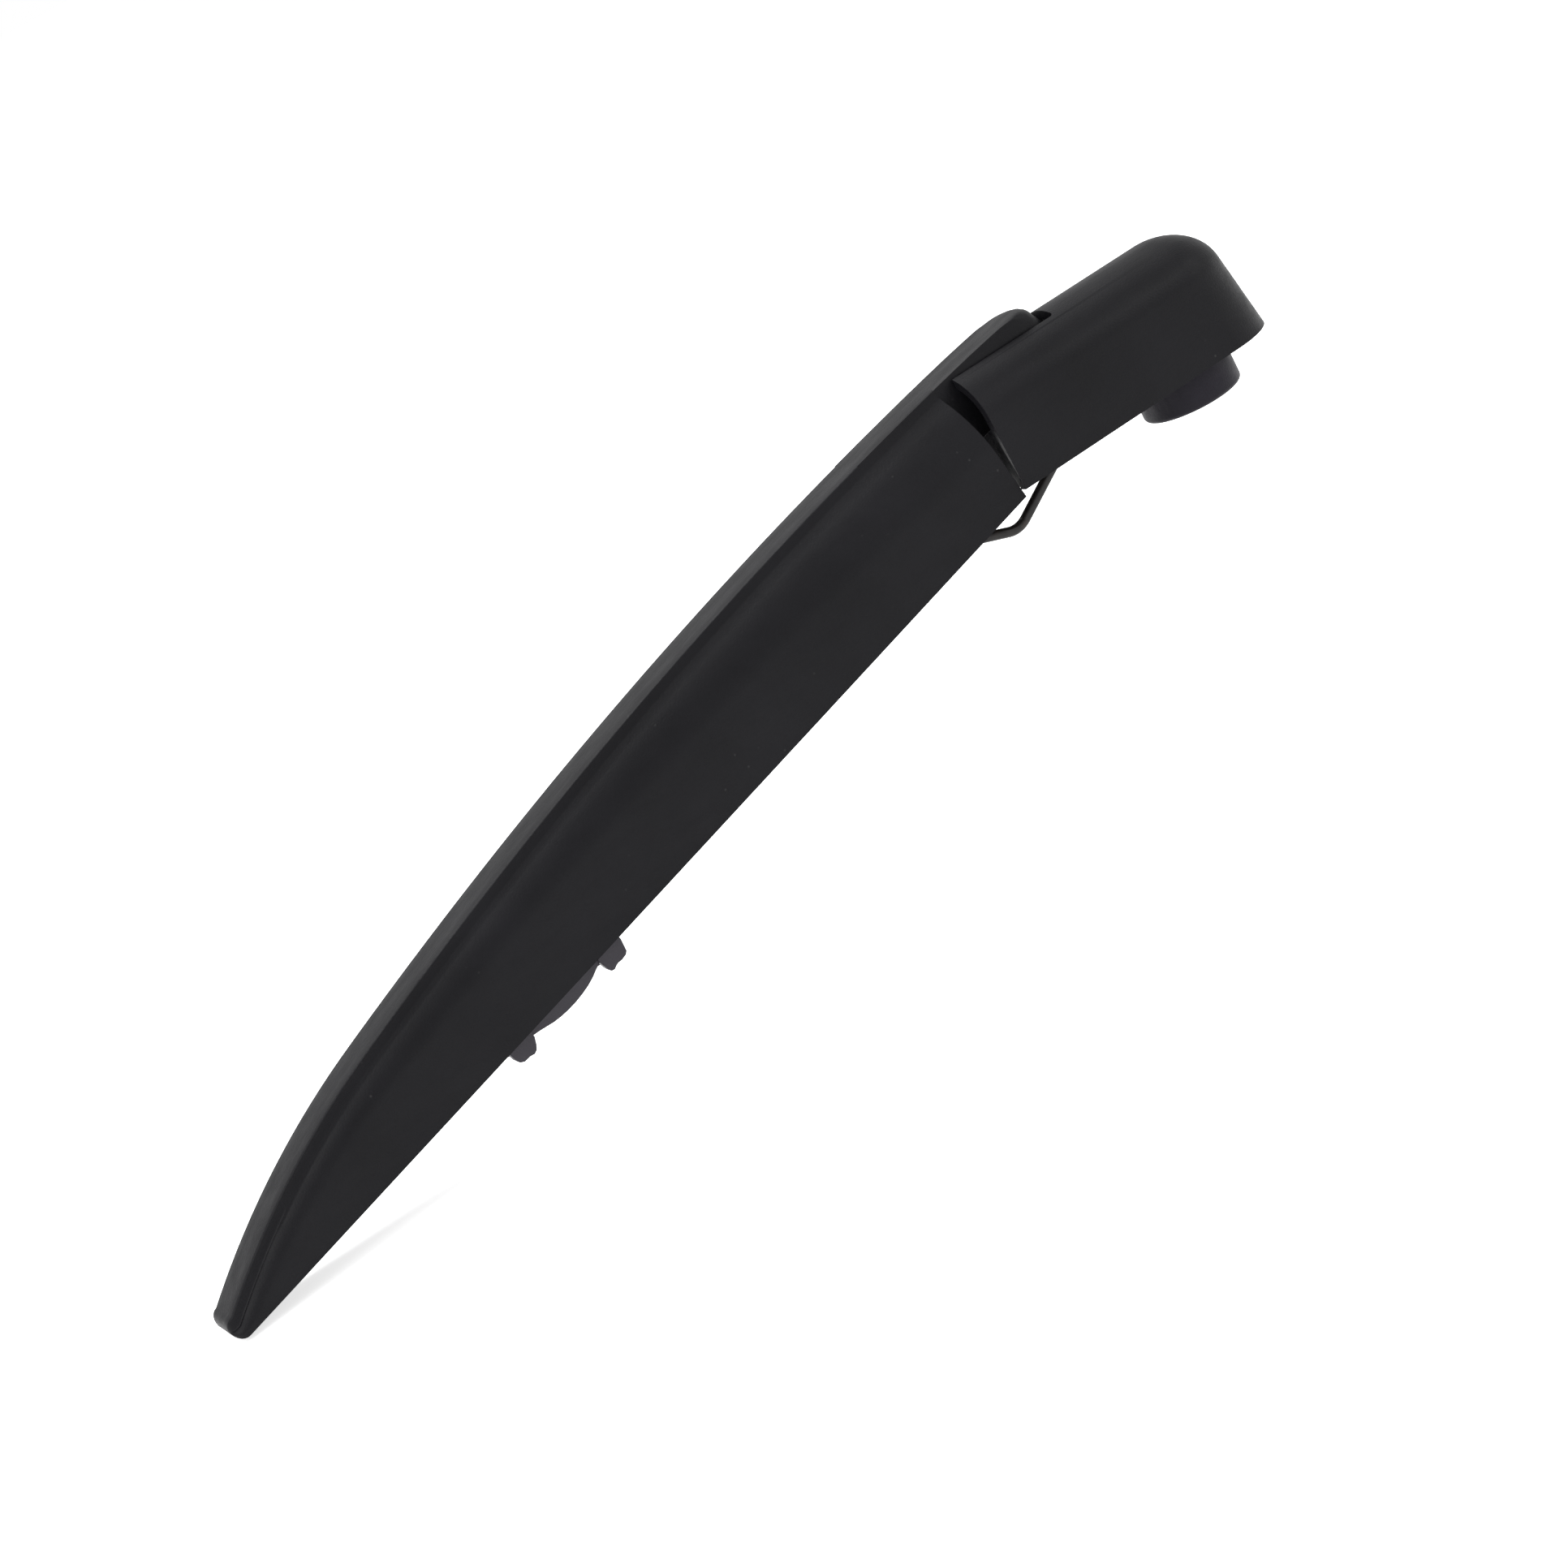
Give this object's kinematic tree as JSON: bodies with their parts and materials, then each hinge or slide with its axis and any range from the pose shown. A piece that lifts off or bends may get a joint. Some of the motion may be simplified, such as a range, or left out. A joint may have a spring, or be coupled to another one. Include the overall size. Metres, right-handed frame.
{
  "type": "rear wiper arm",
  "caption": "Spring-loaded moulded rear wiper arm: hooded hinge head on a splined spindle socket, deep fin-shaped arm, rocking blade adapter.",
  "frame": {"origin": "centre of the mouth of the spindle socket, on the boss's lower face", "axes": "+Z along the spindle, away from the glass; +X from the spindle towards the arm's tip; +Y across the arm"},
  "size_m": [0.3319, 0.031, 0.0961],
  "materials": {
    "black_plastic": "satin moulded black",
    "boss_plastic": "satin moulded dark grey",
    "adapter_plastic": "satin moulded dark grey",
    "bush_plastic": "plain moulded, natural",
    "steel": "plated steel",
    "coated_wire": "dark coated wire",
    "spring_steel": "phosphated spring steel"
  },
  "bodies": {
    "head": {"head_base": "boss_plastic", "spline_insert": "steel", "head_cover": "black_plastic", "hinge_pin": "steel", "hook_pin": "steel"},
    "arm": {"arm_body": "black_plastic", "hinge_bush_left": "bush_plastic", "hinge_bush_right": "bush_plastic", "spring_pin": "steel", "adapter_pin": "steel"},
    "link": {"spring_hook": "coated_wire", "tension_spring": "spring_steel"},
    "adapter": {"blade_adapter": "adapter_plastic"}
  },
  "joints": [
    {"name": "arm_hinge", "type": "hinge", "parent": "head", "child": "arm", "pos_m": [0.047, 0, 0.027], "axis": [0, -1, 0], "range_deg": [0, 52], "stiffness_Nm_per_rad": 0.9, "springref_deg": -57.3},
    {"name": "link_swing", "type": "hinge", "parent": "head", "child": "link", "pos_m": [0.026, 0, 0.01], "axis": [0, -1, 0], "range_deg": [0, 43], "deforming": ["tension_spring"]},
    {"name": "adapter_rock", "type": "hinge", "parent": "arm", "child": "adapter", "pos_m": [0.21005, 0, -0.02262], "axis": [0, -1, 0], "range_deg": [-12, 12]}
  ],
  "couplings": [
    {"joint": "link_swing", "follows": "arm_hinge", "ratio": 0.824}
  ]
}
